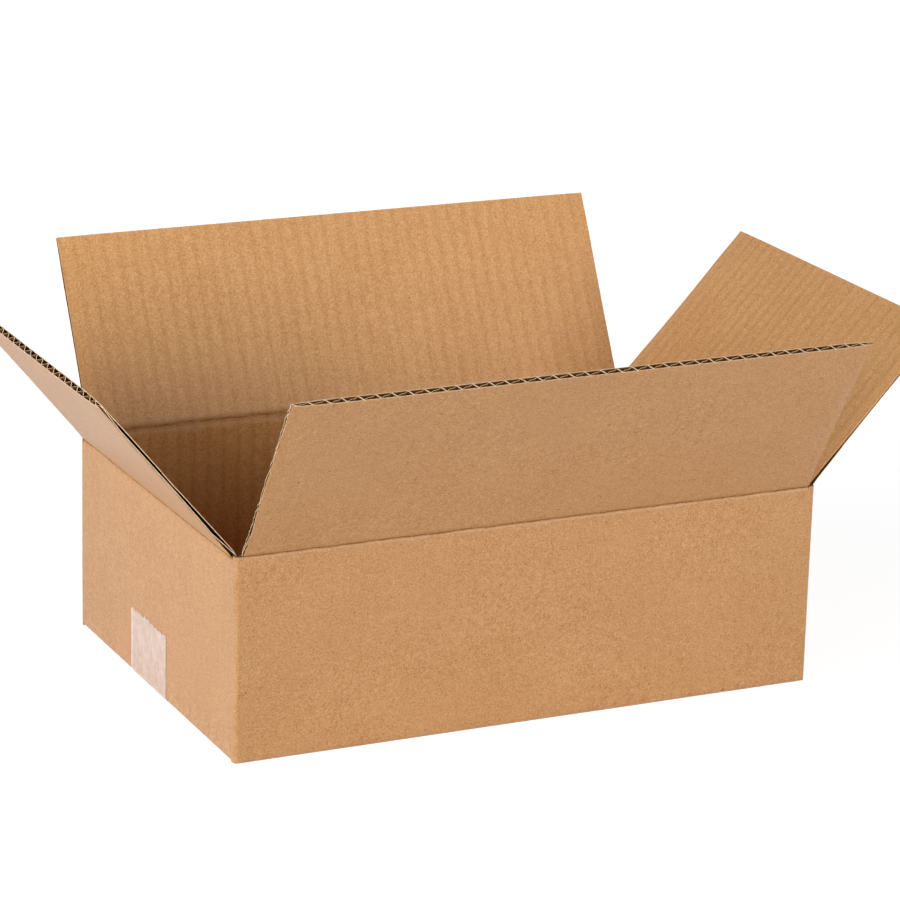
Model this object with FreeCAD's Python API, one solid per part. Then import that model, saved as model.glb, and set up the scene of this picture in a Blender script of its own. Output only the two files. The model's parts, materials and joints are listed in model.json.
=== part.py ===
# An open corrugated carton: four walls folded from one sheet, a bottom closed by four flaps
# and a strip of tape, and four top flaps that stand open and turn on their creases.
#
# Millimetres, +Z up. X runs along the carton's length and Y along its width, with the front
# wall at -Y. The origin is the middle of the carton's footprint, on the plane that it stands on.
import FreeCAD, Part
import math
import os

from FreeCAD import Vector

# Outside size of the carton and the middle level of its top creases.
carton_length = 313.0
carton_width = 212.0
crease_height = 103.9

# The corrugated board: two liners and a wavy medium between them.
board = 3.5
liner = 0.35
medium = 0.3
flute_pitch = 8.2

# Shape of one flute, as shares of its pitch from the middle of the hollow.
crest_share = 0.10
flank_share = 0.25
foot_share = 0.44

# Folds. The side flaps lie over the end flaps when all are closed, so their crease is higher.
corner_radius = 3.0
bottom_fold_radius = 2.6
side_axis_depth = board / 2
end_axis_depth = 0.3
layer_gap = 0.25
crease_step = board - side_axis_depth + end_axis_depth + layer_gap
side_crease = crease_height + crease_step / 2
end_crease = crease_height - crease_step / 2

# How far a flap turns from upright, in degrees, and how it stands now.
close_limit = 90.0
open_limit = 150.0
front_tilt = 31.7
back_tilt = 28.1
left_tilt = 39.8
right_tilt = 42.8

# Clearance at a crease at both limits, and how near its crushed edges come to its axis.
hinge_gap = 0.2
crease_reach = 0.35
crush_margin = 0.5

# How far the walls' creases and the flaps' sides stand in from the carton's corners, and the
# flaps' lengths.
panel_inset = board + layer_gap
flap_inset = panel_inset + layer_gap
centre_gap = 0.6
side_flap_length = carton_width / 2 - side_axis_depth - centre_gap / 2
end_flap_length = 104.8

# Slots between the flaps reach a little past the creases.
slot_drop = 1.0
top_slot_floor = end_crease - slot_drop
bottom_slot_floor = slot_drop

# Bottom flaps: the end flaps lie inside, on the side flaps.
bottom_seam = 1.0
bottom_end_flap_length = 104.0
end_fold_lift = 0.6
inner_layer = board + layer_gap

# Glued tab inside the back wall's right end, and the seam that it leaves outside.
tab_width = 32.0
tab_thickness = 2.6
tab_clearance = 4.0
tab_slant = 5.0
seam_width = 0.6
seam_depth = 2.4

# Tape along the bottom seam and up both end walls.
tape_width = 48.0
tape_thickness = 0.1
tape_offset = 8.0
tape_tail = 36.0
tape_teeth = 20
tooth_depth = 0.9


def prism(points, vector):
    """A solid: the closed outline through the points, moved along the vector."""
    outline = Part.makePolygon(points + [points[0]])
    return Part.Face(outline).extrude(vector)


def crease_edges(depth):
    """The crushed edge of a board beside a crease, from its outer face to its inner face.

    Points are (across, along): across is towards the inside of the carton and along is the
    distance from the crease's axis, which lies at the given depth under the outer face. Each
    face tapers on the line that meets its mirror image, half a hinge gap away, at its limit.
    """
    outer_slope = math.radians((180 - open_limit) / 2)
    inner_slope = math.radians((180 - close_limit) / 2)
    outer_shift = hinge_gap / 2 / math.cos(outer_slope)
    inner_shift = hinge_gap / 2 / math.cos(inner_slope)
    outer_start = (depth + outer_shift) / math.tan(outer_slope)
    inner_start = (board - depth + inner_shift) / math.tan(inner_slope)
    outer_lip = outer_shift - crease_reach * math.tan(outer_slope)
    inner_lip = crease_reach * math.tan(inner_slope) - inner_shift
    return [
        (-depth, outer_start),
        (outer_lip, crease_reach),
        (inner_lip, crease_reach),
        (board - depth, inner_start),
    ]


def hollow(centre, towards_outside, pitch, depth):
    """The six corners (x, across) of one flute's hollow, wide at the liner that it touches."""
    middle = board / 2 - depth
    sign = -1 if towards_outside else 1
    foot = sign * (board / 2 - liner)
    crest = -sign * (board / 2 - liner - medium)
    slope = math.pi * (board - 2 * liner - medium) / pitch
    flank = sign * medium / 2 * math.hypot(1, slope)
    half = [(foot_share, foot), (flank_share, flank), (crest_share, crest)]
    right = [(centre + share * pitch, middle + across) for share, across in half]
    left = [(centre - share * pitch, middle + across) for share, across in reversed(half)]
    return right + left


def fluted_section(width, depth):
    """The face of a board cut across its flutes, with a flute cut open at each side."""
    flutes = round(width / flute_pitch)
    pitch = width / flutes
    side = width / 2
    right_slit = hollow(side, True, pitch, depth)[3:]
    left_slit = hollow(-side, True, pitch, depth)[:3]
    outer_face = -depth
    inner_face = board - depth
    outline = [(-side, outer_face), (side, outer_face), (side, left_slit[0][1])]
    outline += list(reversed(right_slit))
    outline += [(side, left_slit[2][1]), (side, inner_face), (-side, inner_face)]
    outline += [(-side, left_slit[2][1])] + list(reversed(left_slit))
    outline += [(-side, left_slit[0][1])]
    outlines = [outline]
    outlines += [hollow(-side + n * pitch, True, pitch, depth) for n in range(1, flutes)]
    outlines += [hollow(-side + (n + 0.5) * pitch, False, pitch, depth) for n in range(flutes)]
    wires = []
    for corners in outlines:
        points = [Vector(x, y, 0) for x, y in corners]
        wires.append(Part.makePolygon(points + [points[0]]))
    return Part.makeFace(wires, "Part::FaceMakerBullseye")


def make_flap(width, length, depth, tilt):
    """A top flap for the front wall, with its crease's axis along X through the origin.

    Its root is crushed solid, and the flutes start where the board has its full thickness.
    """
    edges = crease_edges(depth)
    root_end = max(edges[0][1], edges[-1][1]) + crush_margin
    section = edges + [(board - depth, root_end), (-depth, root_end)]
    points = [Vector(-width / 2, across, along) for across, along in section]
    root = prism(points, Vector(width, 0, 0))
    sheet = fluted_section(width, depth)
    sheet.translate(Vector(0, 0, root_end))
    sheet = sheet.extrude(Vector(0, 0, length - root_end))
    flap = root.fuse(sheet).removeSplitter()
    flap.rotate(Vector(0, 0, 0), Vector(1, 0, 0), tilt)
    return flap


def place(shape, turn, reach, level):
    """Move a shape made for the front wall out to the wall that the turn about Z names."""
    shape.translate(Vector(0, -reach, level))
    shape.rotate(Vector(0, 0, 0), Vector(0, 0, 1), turn)
    return shape


def wall_top(depth, reach, crease):
    """The points (across, height) of a wall's crushed top edge, from outside to inside."""
    return [(-reach + depth + across, crease - along) for across, along in crease_edges(depth)]


def make_side_panel():
    """The front wall with the bottom flap folded in under it, seen along X."""
    half = carton_width / 2
    radius = bottom_fold_radius
    bend = radius * (1 - math.sqrt(0.5))
    top = wall_top(side_axis_depth, half, side_crease)
    outline = [Vector(0, y, z) for y, z in top]
    outline += [Vector(0, -half + board, board), Vector(0, -bottom_seam / 2, board)]
    outline += [Vector(0, -bottom_seam / 2, 0), Vector(0, -half + radius, 0)]
    fold_top = Vector(0, -half, radius)
    fold = Part.Arc(outline[-1], Vector(0, -half + bend, bend), fold_top).toShape()
    straight = Part.makePolygon(outline).Edges
    closing = Part.LineSegment(fold_top, outline[0]).toShape()
    face = Part.Face(Part.Wire(straight + [fold, closing]))
    panel_length = carton_length - 2 * panel_inset
    face.translate(Vector(-panel_length / 2, 0, 0))
    return face.extrude(Vector(panel_length, 0, 0))


def make_end_panel():
    """The end wall with its bottom flap, which lies on the side flaps, in the front's place."""
    half = carton_length / 2
    radius = bottom_fold_radius - end_fold_lift
    bend = radius * (1 - math.sqrt(0.5))
    fold_inside = -half + panel_inset - layer_gap
    top = wall_top(end_axis_depth, half, end_crease)
    outline = [Vector(0, y, z) for y, z in top]
    outline += [Vector(0, -half + board, inner_layer + board)]
    outline += [Vector(0, -half + bottom_end_flap_length, inner_layer + board)]
    outline += [Vector(0, -half + bottom_end_flap_length, inner_layer)]
    outline += [Vector(0, fold_inside, inner_layer), Vector(0, fold_inside, end_fold_lift)]
    outline += [Vector(0, -half + radius, end_fold_lift)]
    fold_top = Vector(0, -half, end_fold_lift + radius)
    middle = Vector(0, -half + bend, end_fold_lift + bend)
    fold = Part.Arc(outline[-1], middle, fold_top).toShape()
    straight = Part.makePolygon(outline).Edges
    closing = Part.LineSegment(fold_top, outline[0]).toShape()
    face = Part.Face(Part.Wire(straight + [fold, closing]))
    panel_length = carton_width - 2 * panel_inset
    face.translate(Vector(-panel_length / 2, 0, 0))
    return face.extrude(Vector(panel_length, 0, 0))


def make_frame(low, high):
    """The four walls as one upright band between two heights, with their folded corners.

    Three corners are rounded folds. The back right one is the glued joint, and stays square.
    """
    height = high - low
    start = Vector(-carton_length / 2, -carton_width / 2, low)
    outside = Part.makeBox(carton_length, carton_width, height, start)
    folds = []
    for edge in outside.Edges:
        middle = edge.CenterOfMass
        upright = edge.BoundBox.ZLength > height / 2
        if upright and not (middle.x > 0 and middle.y > 0):
            folds.append(edge)
    outside = outside.makeFillet(corner_radius, folds)
    inside = Part.makeBox(
        carton_length - 2 * board,
        carton_width - 2 * board,
        height,
        start + Vector(board, board, 0),
    )
    return outside.cut(inside)


def make_corners():
    """The walls' band between their folds and creases, and the posts at its corners.

    The posts reach up and down to the floors of the slots between the flaps.
    """
    side_start = side_crease - crease_edges(side_axis_depth)[0][1]
    end_start = end_crease - crease_edges(end_axis_depth)[-1][1]
    band_top = min(side_start, end_start) - crush_margin
    band = make_frame(bottom_fold_radius + crush_margin, band_top)
    posts = make_frame(bottom_slot_floor, top_slot_floor)
    along = Part.makeBox(
        carton_length - 2 * panel_inset,
        carton_width * 2,
        carton_width,
        Vector(-carton_length / 2 + panel_inset, -carton_width, 0),
    )
    across = Part.makeBox(
        carton_length * 2,
        carton_width - 2 * panel_inset,
        carton_width,
        Vector(-carton_length, -carton_width / 2 + panel_inset, 0),
    )
    return band.fuse(posts.cut([along, across]))


def make_tab():
    """The tab folded in from the right wall and glued to the inside of the back wall."""
    fold = carton_length / 2 - board
    back = carton_width / 2 - board
    low = inner_layer + board + tab_clearance
    high = end_crease - board - tab_clearance
    points = [
        Vector(fold, back, low),
        Vector(fold, back, high),
        Vector(fold - tab_width, back, high - tab_slant),
        Vector(fold - tab_width, back, low + tab_slant),
    ]
    return prism(points, Vector(0, -tab_thickness, 0))


def make_joint_seam():
    """The gap outside the glued joint, where the back wall's cut end meets the right wall."""
    return Part.makeBox(
        seam_depth * 2,
        seam_width,
        side_crease,
        Vector(carton_length / 2 - seam_depth, carton_width / 2 - board - seam_width, 0),
    )


def tape_outline(inset):
    """The tape's path round the carton's bottom, an inset inside its outer face, as edges."""
    half = carton_length / 2 - inset
    radius = bottom_fold_radius - inset
    bend = radius * (1 - math.sqrt(0.5))
    left_top = Vector(-half, 0, tape_tail)
    left_side = Vector(-half, 0, inset + radius)
    left_base = Vector(-half + radius, 0, inset)
    right_base = Vector(half - radius, 0, inset)
    right_side = Vector(half, 0, inset + radius)
    right_top = Vector(half, 0, tape_tail)
    return [
        Part.LineSegment(left_top, left_side).toShape(),
        Part.Arc(left_side, Vector(-half + bend, 0, inset + bend), left_base).toShape(),
        Part.LineSegment(left_base, right_base).toShape(),
        Part.Arc(right_base, Vector(half - bend, 0, inset + bend), right_side).toShape(),
        Part.LineSegment(right_side, right_top).toShape(),
    ]


def make_tape():
    """One strip of tape, with both ends torn off along a row of teeth."""
    half = carton_length / 2
    caps = []
    for side in (-1, 1):
        outer = Vector(side * half, 0, tape_tail)
        inner = Vector(side * (half - tape_thickness), 0, tape_tail)
        caps.append(Part.LineSegment(outer, inner).toShape())
    edges = Part.sortEdges(tape_outline(0) + tape_outline(tape_thickness) + caps)[0]
    strip = Part.Face(Part.Wire(edges)).extrude(Vector(0, tape_width, 0))
    front = tape_offset - tape_width / 2
    strip.translate(Vector(0, front, 0))
    tooth = tape_width / tape_teeth
    teeth = [Vector(-carton_length, front - tooth, tape_tail + tooth_depth)]
    for n in range(tape_teeth + 1):
        teeth.append(Vector(-carton_length, front + n * tooth, tape_tail))
        if n < tape_teeth:
            notch = front + (n + 0.5) * tooth
            teeth.append(Vector(-carton_length, notch, tape_tail - tooth_depth))
    teeth.append(Vector(-carton_length, front + tape_width + tooth, tape_tail + tooth_depth))
    return strip.cut(prism(teeth, Vector(2 * carton_length, 0, 0)))


def make_carton(tape):
    """The walls, the four bottom flaps and the glued tab: one folded sheet, pressed by the tape."""
    pieces = []
    for turn in (0, 180):
        pieces.append(place(make_side_panel(), turn, 0, 0))
    for turn in (90, 270):
        pieces.append(place(make_end_panel(), turn, 0, 0))
    pieces.append(make_tab())
    carton = make_corners().fuse(pieces)
    carton = carton.cut(make_joint_seam()).cut(tape)
    return carton.removeSplitter()


def side_flap(turn, tilt):
    """A long top flap, on the front or the back wall."""
    flap_width = carton_length - 2 * flap_inset
    flap = make_flap(flap_width, side_flap_length, side_axis_depth, tilt)
    return place(flap, turn, carton_width / 2 - side_axis_depth, side_crease)


def end_flap(turn, tilt):
    """A short top flap, on the right or the left wall."""
    flap_width = carton_width - 2 * flap_inset
    flap = make_flap(flap_width, end_flap_length, end_axis_depth, tilt)
    return place(flap, turn, carton_length / 2 - end_axis_depth, end_crease)


bottom_tape = make_tape()
nodes = {
    "carton": make_carton(bottom_tape),
    "bottom_tape": bottom_tape,
    "front_flap": side_flap(0, front_tilt),
    "back_flap": side_flap(180, back_tilt),
    "right_flap": end_flap(90, right_tilt),
    "left_flap": end_flap(270, left_tilt),
}

os.makedirs("parts", exist_ok=True)
for name, shape in nodes.items():
    shape.exportStep("parts/" + name + ".step")
    box = shape.BoundBox
    print(name, shape.isValid(), len(shape.Solids), round(shape.Volume), box)
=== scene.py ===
# An open corrugated carton with its four top flaps splayed outwards.
#
# Every wall and flap is fluted board: an outer liner, an inner liner and a wavy medium between
# them. Lengths are metres. A place on the board is given by three numbers: u runs round the
# carton along the sheet that it was folded from, v runs up the sheet, and w runs through the
# board, from 0 on its outer face to its thickness on its inner face.
import json
import math

import bpy
import numpy as np
from mathutils import Matrix, Vector


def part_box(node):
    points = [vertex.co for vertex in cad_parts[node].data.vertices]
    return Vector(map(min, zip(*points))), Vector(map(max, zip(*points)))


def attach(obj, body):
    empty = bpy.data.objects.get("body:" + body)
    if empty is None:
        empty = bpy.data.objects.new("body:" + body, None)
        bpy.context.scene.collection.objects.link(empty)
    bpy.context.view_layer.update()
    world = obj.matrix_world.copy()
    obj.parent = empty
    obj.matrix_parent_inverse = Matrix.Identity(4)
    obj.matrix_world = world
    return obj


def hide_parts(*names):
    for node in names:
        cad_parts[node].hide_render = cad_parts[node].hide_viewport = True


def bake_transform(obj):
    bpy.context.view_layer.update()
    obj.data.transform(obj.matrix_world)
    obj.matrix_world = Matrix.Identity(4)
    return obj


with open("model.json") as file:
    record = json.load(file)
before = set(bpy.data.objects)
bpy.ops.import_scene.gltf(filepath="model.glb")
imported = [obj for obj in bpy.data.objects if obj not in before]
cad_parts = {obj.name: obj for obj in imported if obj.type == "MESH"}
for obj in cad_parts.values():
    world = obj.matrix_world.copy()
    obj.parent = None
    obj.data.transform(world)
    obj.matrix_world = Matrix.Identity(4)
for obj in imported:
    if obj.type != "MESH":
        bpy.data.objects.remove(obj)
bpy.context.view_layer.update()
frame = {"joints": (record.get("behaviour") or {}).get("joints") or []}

mm = 0.001
up = np.array([0.0, 0.0, 1.0])

# The board.
board = 3.5 * mm
liner = 0.35 * mm
medium = 0.36 * mm
flute_pitch = 8.2 * mm
columns_per_flute = 6
medium_columns_per_flute = 14

# The carton's outside, from the frame.
carton_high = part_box("carton")[1]
half_length = carton_high.x
half_width = carton_high.y
length = 2 * half_length
width = 2 * half_width
girth = 2 * (length + width)

# Folds. The walls' upright folds are round outside and crushed nearly sharp inside.
corner_radius = 2 * mm
inner_corner_radius = 0.3 * mm
fold_zone = board + inner_corner_radius
panel_inset = 3.75 * mm
flap_inset = 4 * mm
open_limit = 150
crease_bend = 2.4 * mm
wall_top = 98.5 * mm
slot_floor = 104.65 * mm

# The glued tab inside the back wall, and the cut end of the back wall that it holds.
tab_width = 32 * mm
tab_board = 2.6 * mm
tab_low = 11.3 * mm
tab_high = 95.2 * mm
tab_slant = 5 * mm
joint_gap = 0.6 * mm
joint_bevel = 1.1 * mm

# Bottom flaps: the end flaps lie inside, on the side flaps.
bottom_seam = 1 * mm
bottom_fold_radius = 2.6 * mm
end_fold_radius = 2 * mm
end_fold_lift = 0.6 * mm
inner_layer = 3.75 * mm
bottom_end_flap_length = 104 * mm
side_wall_low = 5 * mm
end_wall_low = 9 * mm
slot_low = 1 * mm

# The tape.
tape_low, tape_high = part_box("bottom_tape")
tape_tail = tape_high.z
tape_film = 0.1 * mm
tape_press = 0.12 * mm
tape_teeth = 9
tooth_depth = 2.2 * mm
torn_depth = 0.5 * mm
torn_rows = 3 * mm


def smooth(x, low, high):
    """A smooth rise from 0 to 1 between two values of x: 3 t squared less 2 t cubed."""
    t = np.clip((x - low) / (high - low), 0, 1)
    return t * t * (3 - 2 * t)


def bump(x, size):
    """A bell of height 1 about 0: e to the minus square of x over its size."""
    return np.exp(-((x / size) ** 2))


def wander(x, step, seed):
    """A random line between -1 and 1: random heights one step apart, joined by smooth rises."""
    heights = np.random.default_rng(seed).uniform(-1, 1, 1024)
    cell = np.floor(x / step).astype(int)
    t = x / step - cell
    before = heights[cell % 1024]
    after = heights[(cell + 1) % 1024]
    return before + (after - before) * t * t * (3 - 2 * t)


# How far each panel's flutes lean, and how much the cut has spread the medium at its flap's tip.
# Then how far its flap's sides are crushed, for how far in from them the medium lies flat on the
# outer liner, and how far they are frayed.
flute_lean = {"back_flap": 0.2, "left_flap": 0.15, "front_flap": 0.85, "right_flap": -0.3}
tip_burr = {"back_flap": 0.3, "left_flap": 0.3, "front_flap": 1.1, "right_flap": 0.3}
side_looks = {
    "back_flap": (1.2 * mm, 0, 0.1 * mm),
    "left_flap": (1.6 * mm, 5 * mm, 0.8 * mm),
    "front_flap": (2.2 * mm, 3 * mm, 0.9 * mm),
    "right_flap": (2.3 * mm, 0, 0.1 * mm),
}
# The flaps whose sides show pale torn paper, and the board's materials in their order. The medium's
# material is darker than its paper as painted shade, and also covers the liners' faces inside the
# board.
torn_sides = ("left_flap", "front_flap")
OUTER, INNER, MEDIUM_AND_SHADE, EDGE = range(4)


class Panel:
    """One of the four walls with its top flap: its place on the sheet, its crease and its tilt."""

    def __init__(self, joint):
        self.flap = joint["child"]
        self.centre = np.array(joint["pos_m"], float)
        self.along = np.array(joint["axis"], float)
        self.out = np.cross(self.along, up)
        half_size = np.array([half_length, half_width, 0])
        self.reach = float(half_size @ abs(self.out))
        self.half = float(half_size @ abs(self.along))
        self.depth = self.reach - float(self.centre @ self.out)
        self.level = float(self.centre[2])
        self.tilt = math.radians(open_limit - joint["range_deg"][1])
        self.flap_half = self.half - flap_inset
        self.pitch = 2 * self.flap_half / round(2 * self.flap_half / flute_pitch)
        side = bool(abs(self.out[1]) > 0.5)
        self.is_side = side
        first = length / 2 if side else length + width / 2
        self.middle = first if self.out @ np.array([-1, 1, 0]) > 0 else first + length + width
        self.wall_low = side_wall_low if side else end_wall_low
        self.lean = flute_lean[self.flap]
        self.burr = tip_burr[self.flap]
        self.side_paint = EDGE if self.flap in torn_sides else INNER
        self.side_crush, self.loose_side, self.side_fray = side_looks[self.flap]

    def flap_direction(self):
        """The unit vector from the crease towards the open flap's tip."""
        return math.sin(self.tilt) * self.out + math.cos(self.tilt) * up


panels = [Panel(joint) for joint in frame["joints"]]
by_place = sorted(panels, key=lambda panel: panel.middle)

# How far the liners sag between the flutes' tips, and how uneven the sheet lies. The steps are
# how far apart the random heights of each unevenness lie.
outer_washboard = 0.035 * mm
inner_washboard = 0.085 * mm
washboard_step = 60 * mm
swell_size = 0.06 * mm
swell_steps = (37 * mm, 29 * mm)

# How much third harmonic straightens the flutes' flanks, and how unevenly they are spaced.
third_harmonic = 0.05
flute_shift = 0.3
flute_shift_step = 11 * mm


def flute_wave(u):
    """The medium's height, from -1 at the outer liner to 1 at the inner one, and its slope.

    It is a cosine of u with a little of its third harmonic, which straightens the flanks. A
    leaning flute's angle is less its lean times its own cosine, so one flank is steeper, and a
    small random turn makes each flute a little different. The pitch is each panel's own, so that
    a whole number of flutes fits between a flap's sides.
    """
    wave = np.zeros_like(u)
    slope = np.zeros_like(u)
    for panel in by_place:
        beyond = u > panel.middle - panel.half
        turn = 2 * math.pi * (u - panel.middle + panel.flap_half) / panel.pitch
        turn = turn + flute_shift * wander(u, flute_shift_step, seed=7)
        angle = turn - panel.lean * np.cos(turn)
        height = np.cos(angle) + third_harmonic * np.cos(3 * angle)
        rise = -(np.sin(angle) + 3 * third_harmonic * np.sin(3 * angle)) / (1 + third_harmonic)
        rise = rise * (1 + panel.lean * np.sin(turn))
        wave = np.where(beyond, height / (1 + third_harmonic), wave)
        slope = np.where(beyond, rise * 2 * math.pi / panel.pitch, slope)
    first = by_place[0]
    angle = 2 * math.pi * (u - first.middle + first.flap_half) / first.pitch
    before = u <= first.middle - first.half
    return np.where(before, np.cos(angle), wave), slope


def swell(u, v):
    """How far the whole board stands in from its true plane: a slow random wave, never outwards."""
    wave = wander(u + 0.6 * v, swell_steps[0], seed=3)
    wave = wave + wander(v - 0.3 * u, swell_steps[1], seed=4)
    return swell_size * (1 + wave / 2)


def plain_faces(u, v):
    """The depths of the outer and inner faces of an uncrushed board at (u, v).

    Both faces follow the swell, and the inner one stands in by twice its size. Each also stands
    in by its washboard times how far the medium's wave is from it, so the liners sag between the
    flutes' tips, by an amount that wanders.
    """
    wave = flute_wave(u)[0]
    depth = swell(u, v)
    strength = 1 + 0.5 * wander(u, washboard_step, seed=5)
    outer = depth + outer_washboard * strength * (1 + wave) / 2
    inner = board + depth - 2 * swell_size - inner_washboard * strength * (1 - wave) / 2
    return outer, inner


def closed_sheet(outer, inner):
    """A thin closed sheet between two grids of points: its skin quads and its rim quads.

    Rows run up the sheet and columns along it, so the outer grid's quads face outwards. The
    inner grid's quads are turned round, and a strip of quads closes each of the four rims.
    """
    rows, columns = outer.shape[:2]
    first = np.arange(rows * columns).reshape(rows, columns)
    second = first + rows * columns

    def quads(a, b, c, d):
        """Rows of four corners, from four grids of point numbers."""
        return np.stack([a.ravel(), b.ravel(), c.ravel(), d.ravel()], 1)

    skins = [
        quads(first[:-1, :-1], first[:-1, 1:], first[1:, 1:], first[1:, :-1]),
        quads(second[:-1, :-1], second[1:, :-1], second[1:, 1:], second[:-1, 1:]),
    ]
    rims = [
        quads(first[0, :-1], second[0, :-1], second[0, 1:], first[0, 1:]),
        quads(first[-1, :-1], first[-1, 1:], second[-1, 1:], second[-1, :-1]),
        quads(first[:-1, 0], first[1:, 0], second[1:, 0], second[:-1, 0]),
        quads(first[:-1, -1], second[:-1, -1], second[1:, -1], first[1:, -1]),
    ]
    return np.concatenate([outer.reshape(-1, 3), inner.reshape(-1, 3)]), skins, rims


def add_object(name, data):
    """A new object in the scene."""
    made = bpy.data.objects.new(name, data)
    bpy.context.scene.collection.objects.link(made)
    return made


class Shells:
    """Closed sheets gathered into one mesh, with the attributes that their materials read."""

    def __init__(self):
        self.points = []
        self.sheet = []
        self.marks = {"flute": [], "crease": [], "rim": [], "worn": []}
        self.quads = []
        self.paint = []
        self.count = 0

    def add(self, place, u, v, outer, inner, paints, rim_paints, marks):
        """One sheet between the depths outer and inner, with its materials and marks.

        paints are the materials of its outer and inner skins, and rim_paints those of its bottom,
        top, first and last rims, each one material or a row of them.
        """
        points, skins, rims = closed_sheet(place(u, v, outer), place(u, v, inner))
        for skin, paint in zip(skins, paints):
            self.quads.append(skin + self.count)
            self.paint.append(np.full(len(skin), paint))
        for rim, paint in zip(rims, rim_paints):
            self.quads.append(rim + self.count)
            self.paint.append(np.broadcast_to(paint, len(rim)))
        for depth in (outer, inner):
            self.sheet.append(np.stack([u, v, np.broadcast_to(depth, u.shape)], -1).reshape(-1, 3))
            self.marks["flute"].append(((1 + flute_wave(u)[0].ravel()) / 2) ** 3)
            for name, mark in zip(("crease", "rim", "worn"), marks):
                self.marks[name].append(np.broadcast_to(mark, u.shape).ravel())
        self.points.append(points)
        self.count += len(points)

    def piece(self, name, materials):
        """The mesh object, smooth apart from edges sharper than sharp_angle."""
        points = np.concatenate(self.points)
        quads = np.concatenate(self.quads)
        mesh = bpy.data.meshes.new(name)
        mesh.from_pydata(points.tolist(), [], quads.tolist())
        for material in materials:
            mesh.materials.append(material)
        mesh.polygons.foreach_set("material_index", np.concatenate(self.paint).astype(np.int32))
        mesh.polygons.foreach_set("use_smooth", np.ones(len(quads), bool))
        mesh.set_sharp_from_angle(angle=math.radians(sharp_angle))
        place = mesh.attributes.new("sheet", "FLOAT_VECTOR", "POINT")
        place.data.foreach_set("vector", np.concatenate(self.sheet).astype(np.float32).ravel())
        for mark, values in self.marks.items():
            attribute = mesh.attributes.new(mark, "FLOAT", "POINT")
            attribute.data.foreach_set("value", np.concatenate(values).astype(np.float32))
        mesh.validate()
        mesh.update()
        return add_object(name, mesh)


# The distances in mm from a crease and from a cut edge, and the wear, of a bare stretch.
far = 99
unmarked = (far, far, 0)

# The angle in degrees above which an edge stays sharp, and the width of the strip in which the
# medium rises again from the liner that it lies on.
sharp_angle = 35
settling_width = 2.5 * mm


def lay_flat(wave, slope, side, loose):
    """The medium's wave and slope, let down to the outer liner within a distance of the side.

    Both are multiplied by a smooth rise from 0 at that distance to 1 a settling width further in.
    """
    share = smooth(side, loose, loose + settling_width)
    return share * (wave + 1) - 1, share * slope


def fluted_board(
    name, place, faces, marks, grid, liner_lines, medium_lines, cuts, loose=None, burr=None
):
    """A fluted board: two liners and the wavy medium between them, as three closed sheets.

    grid(columns, rows) gives u and v, faces(u, v) the depths of the two faces, and
    place(u, v, w) the points. The medium's middle is halfway between the liners, plus the
    flutes' wave times the room that the liners leave it, and its thickness is taken square to
    its slope.

    liner_lines and medium_lines are the columns and rows of the liners and of the medium, and
    cuts the materials of the board's bottom, top, first and last cut edges. loose(u, v, wave,
    slope) gives the medium's wave and slope where it has come off a liner, and burr(u, v) how
    much thicker a cut has left its steep flanks, as a share.
    """
    shells = Shells()
    u, v = grid(*liner_lines)
    outer, inner = faces(u, v)
    # The liners' faces inside the board take the medium's dark colour: painted shade in the flutes'
    # channels.
    shells.add(
        place, u, v, outer, outer + liner, (OUTER, MEDIUM_AND_SHADE), cuts[:2] + (OUTER, OUTER), marks(u, v)
    )
    shells.add(place, u, v, inner - liner, inner, (MEDIUM_AND_SHADE, INNER), cuts, marks(u, v))
    u, v = grid(*medium_lines)
    outer, inner = faces(u, v)
    wave, slope = flute_wave(u)
    if loose:
        wave, slope = loose(u, v, wave, slope)
    room = np.maximum((inner - outer) / 2 - liner - medium / 2, 0)
    middle = (outer + inner) / 2 + room * wave
    half = medium / 2 * np.sqrt(1 + (room * slope) ** 2)
    if burr:
        half = half * (1 + burr(u, v) * (slope < 0))
    # At the tip the medium's falling flanks show pale torn paper, and its rising ones kraft.
    steep = slope[-1, :-1] + slope[-1, 1:] < 0
    cuts = (cuts[0], np.where(steep, cuts[1], INNER), *cuts[2:])
    shells.add(place, u, v, middle - half, middle + half, (MEDIUM_AND_SHADE, MEDIUM_AND_SHADE), cuts, unmarked)
    return shells.piece(name, board_materials)


def spaced(low, high, step):
    """Evenly spaced values from low to high, about a step apart."""
    return np.linspace(low, high, max(2, round((high - low) / step) + 1))


# The four walls and the glued tab: one band, folded at three corners. Then the numbers of knots
# and columns at a fold, and the widths over which folds and bottom edges are rubbed pale.
fold_knots = 17
fold_columns = 13
fold_wear = 2.4 * mm
bottom_wear = 3 * mm
# The tape's press fades out between these distances beyond its sides and beyond its torn end,
# and extra columns and rows stand at these distances from them.
press_sides = (0.4 * mm, 1.6 * mm)
press_end = (0.5 * mm, 2 * mm)
tape_columns = np.array([-1.6, -0.5, 0.5, 1.6]) * mm
tape_rows = np.array([-0.5, 1, 2.5]) * mm


def corner_knots(u_corner, corner, before, after):
    """Knots of the walls' path round one upright fold, whose walls face before and after.

    Outside it is an arc of the corner's radius, and inside one of a very small radius.
    """
    knots = []
    for t in np.linspace(0, 1, fold_knots):
        u = (2 * t - 1) * fold_zone
        turn = math.radians(90) * np.clip((u + corner_radius) / (2 * corner_radius), 0, 1)
        outer = corner - corner_radius * (before + after)
        outer = outer + corner_radius * (before * math.cos(turn) + after * math.sin(turn))
        outer = outer - after * max(0, -u - corner_radius) - before * max(0, u - corner_radius)
        turn = math.radians(90) * t
        inner = corner - fold_zone * (before + after)
        inner = inner + inner_corner_radius * (before * math.cos(turn) + after * math.sin(turn))
        knots.append((u_corner + u, outer, inner))
    return knots


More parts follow.
